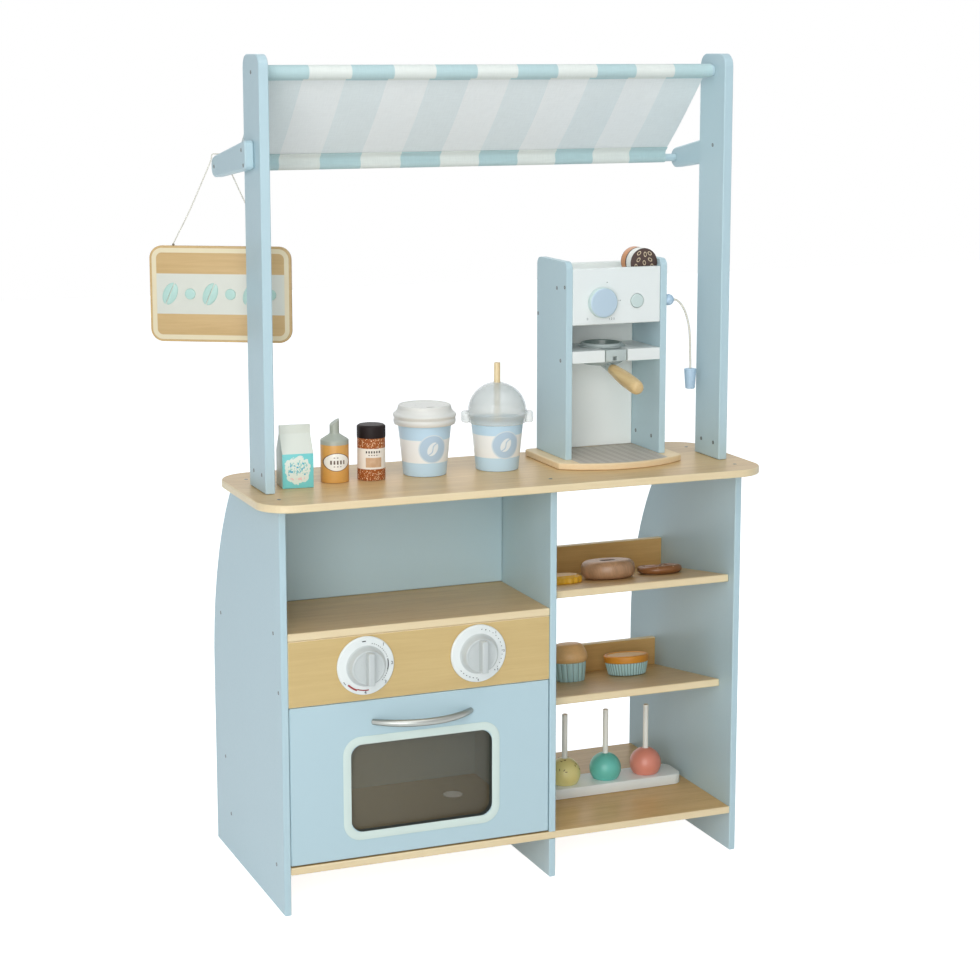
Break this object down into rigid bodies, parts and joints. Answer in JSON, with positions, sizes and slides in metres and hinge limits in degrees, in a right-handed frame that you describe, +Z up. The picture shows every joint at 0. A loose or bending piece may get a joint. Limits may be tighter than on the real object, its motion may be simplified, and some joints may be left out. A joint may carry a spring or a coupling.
{
  "type": "toy coffee shop",
  "caption": "Wooden toy coffee shop: cabinet with oven and display shelves, counter with striped awning, play coffee machine, hanging sign, cups and pastries.",
  "frame": {"origin": "middle of the base of the whole shop's bounding box, on the floor", "axes": "+Z up; -Y towards the child at the oven's side, +Y towards the customer; +X to the right seen from the child's side"},
  "size_m": [0.7564, 0.3452, 1.0713],
  "materials": {
    "blue_paint": "smooth satin paint on board",
    "white_paint": "smooth satin paint on board",
    "wood_grain": "light wood-grain board with a pale edge",
    "beech": "pale lacquered wood",
    "striped_cloth": "woven cloth in light blue and white stripes",
    "metal": "satin metal",
    "smoked_pane": "dark glossy pane",
    "grey_paint": "grey satin paint",
    "string": "off-white twisted string",
    "carton_paint": "turquoise and white satin paint",
    "amber_paint": "amber and grey satin paint",
    "spice_paint": "speckled brown print with a black lid",
    "cup_paint": "satin light blue and white",
    "lid_white": "satin white",
    "clear_dome": "clear plastic",
    "dough": "brown satin paint",
    "icing": "yellow and brown satin paint",
    "wrapper": "fluted case in satin paint",
    "coral": "satin coral paint",
    "teal": "satin teal paint",
    "olive": "satin olive paint",
    "coffee_brown": "dark brown and white print"
  },
  "bodies": {
    "cabinet": {"left_side_panel": "blue_paint", "right_side_panel": "blue_paint", "centre_divider": "blue_paint", "bottom_board": "wood_grain", "oven_shelf": "wood_grain", "oven_back_panel": "blue_paint", "upper_back_panel": "blue_paint", "control_panel": "wood_grain", "countertop": "wood_grain", "upper_display_shelf": "wood_grain", "upper_shelf_rail": "wood_grain", "lower_display_shelf": "wood_grain", "lower_shelf_rail": "wood_grain", "left_post": "blue_paint", "right_post": "blue_paint", "left_arm": "blue_paint", "right_arm": "blue_paint", "awning_top_rod": "blue_paint", "awning_lower_rod": "blue_paint", "awning_canopy": "striped_cloth"},
    "door": {"oven_door": "blue_paint", "window_pane": "smoked_pane", "door_handle": "metal"},
    "left_knob": {"left_oven_knob": "white_paint"},
    "right_knob": {"right_oven_knob": "white_paint"},
    "machine": {"machine_base": "beech", "machine_left_side": "blue_paint", "machine_right_side": "blue_paint", "machine_back": "white_paint", "machine_front_panel": "white_paint", "machine_top_tray": "white_paint", "filter_shelf": "white_paint", "wand_socket": "blue_paint", "wand_cord": "string", "wand_nozzle": "blue_paint"},
    "dial": {"machine_dial": "blue_paint"},
    "button": {"brew_button": "white_paint"},
    "portafilter": {"portafilter_basket": "grey_paint", "portafilter_handle": "beech"},
    "pod_in_front": {"front_pod": "coffee_brown"},
    "pod_behind": {"back_pod": "coffee_brown"},
    "sign": {"sign_board": "beech", "sign_string": "string"},
    "carton": {"milk_carton": "carton_paint"},
    "bottle": {"sugar_bottle": "amber_paint"},
    "jar": {"spice_jar": "spice_paint"},
    "cup": {"takeaway_cup": "cup_paint"},
    "cup_lid": {"takeaway_lid": "lid_white"},
    "shake_cup": {"dome_cup": "cup_paint"},
    "dome": {"dome_lid": "clear_dome"},
    "straw": {"drinking_straw": "beech"},
    "donut_piece": {"donut": "beech"},
    "pretzel_piece": {"pretzel": "dough"},
    "cookie_piece": {"cookie": "icing"},
    "cupcake_piece": {"cupcake": "wrapper"},
    "tart_piece": {"tart": "wrapper"},
    "tray": {"pop_tray": "white_paint"},
    "olive_pop": {"olive_cake_pop": "olive"},
    "teal_pop": {"teal_cake_pop": "teal"},
    "coral_pop": {"coral_cake_pop": "coral"}
  },
  "joints": [
    {"name": "oven_door_hinge", "type": "hinge", "parent": "cabinet", "child": "door", "pos_m": [-0.10197, -0.13635, 0.0699], "axis": [1, 0, 0], "range_deg": [0, 90]},
    {"name": "left_knob_turn", "type": "hinge", "parent": "cabinet", "child": "left_knob", "pos_m": [-0.17822, -0.14085, 0.3155], "axis": [0, -1, 0], "continuous": true},
    {"name": "right_knob_turn", "type": "hinge", "parent": "cabinet", "child": "right_knob", "pos_m": [-0.02571, -0.14085, 0.3155], "axis": [0, -1, 0], "continuous": true},
    {"name": "machine_lift", "type": "slide", "parent": "cabinet", "child": "machine", "axis": [0, 0, 1], "range_m": [0, 0.1]},
    {"name": "dial_turn", "type": "hinge", "parent": "machine", "child": "dial", "pos_m": [0.18113, -0.06385, 0.7493], "axis": [0, -1, 0], "continuous": true},
    {"name": "button_press", "type": "slide", "parent": "machine", "child": "button", "axis": [0, 1, 0], "range_m": [0, 0.003], "stiffness_N_per_m": 120, "springref_m": -0.001},
    {"name": "portafilter_lift", "type": "slide", "parent": "machine", "child": "portafilter", "axis": [0, 0, 1], "range_m": [0, 0.026]},
    {"name": "front_pod_lift", "type": "slide", "parent": "machine", "child": "pod_in_front", "axis": [0, 0, 1], "range_m": [0, 0.04]},
    {"name": "back_pod_lift", "type": "slide", "parent": "machine", "child": "pod_behind", "axis": [0, 0, 1], "range_m": [0, 0.04]},
    {"name": "sign_swing", "type": "hinge", "parent": "cabinet", "child": "sign", "pos_m": [-0.29617, 0.07065, 0.94322], "axis": [0.8686, -0.4955, 0], "range_deg": [-15, 0]},
    {"name": "carton_lift", "type": "slide", "parent": "cabinet", "child": "carton", "axis": [0, 0, 1], "range_m": [0, 0.08]},
    {"name": "bottle_lift", "type": "slide", "parent": "cabinet", "child": "bottle", "axis": [0, 0, 1], "range_m": [0, 0.08]},
    {"name": "jar_lift", "type": "slide", "parent": "cabinet", "child": "jar", "axis": [0, 0, 1], "range_m": [0, 0.08]},
    {"name": "cup_lift", "type": "slide", "parent": "cabinet", "child": "cup", "axis": [0, 0, 1], "range_m": [0, 0.08]},
    {"name": "cup_lid_lift", "type": "slide", "parent": "cup", "child": "cup_lid", "axis": [0, 0, 1], "range_m": [0, 0.03]},
    {"name": "shake_cup_lift", "type": "slide", "parent": "cabinet", "child": "shake_cup", "axis": [0, 0, 1], "range_m": [0, 0.08]},
    {"name": "dome_lift", "type": "slide", "parent": "shake_cup", "child": "dome", "axis": [0, 0, 1], "range_m": [0, 0.03]},
    {"name": "straw_lift", "type": "slide", "parent": "shake_cup", "child": "straw", "axis": [0, 0, 1], "range_m": [0, 0.05]},
    {"name": "donut_lift", "type": "slide", "parent": "cabinet", "child": "donut_piece", "axis": [0, 0, 1], "range_m": [0, 0.06]},
    {"name": "pretzel_lift", "type": "slide", "parent": "cabinet", "child": "pretzel_piece", "axis": [0, 0, 1], "range_m": [0, 0.06]},
    {"name": "cookie_lift", "type": "slide", "parent": "cabinet", "child": "cookie_piece", "axis": [0, 0, 1], "range_m": [0, 0.06]},
    {"name": "cupcake_lift", "type": "slide", "parent": "cabinet", "child": "cupcake_piece", "axis": [0, 0, 1], "range_m": [0, 0.05]},
    {"name": "tart_lift", "type": "slide", "parent": "cabinet", "child": "tart_piece", "axis": [0, 0, 1], "range_m": [0, 0.06]},
    {"name": "tray_slide", "type": "slide", "parent": "cabinet", "child": "tray", "axis": [0, -1, 0], "range_m": [0, 0.11]},
    {"name": "olive_pop_lift", "type": "slide", "parent": "tray", "child": "olive_pop", "axis": [0, 0, 1], "range_m": [0, 0.02]},
    {"name": "teal_pop_lift", "type": "slide", "parent": "tray", "child": "teal_pop", "axis": [0, 0, 1], "range_m": [0, 0.02]},
    {"name": "coral_pop_lift", "type": "slide", "parent": "tray", "child": "coral_pop", "axis": [0, 0, 1], "range_m": [0, 0.02]}
  ]
}
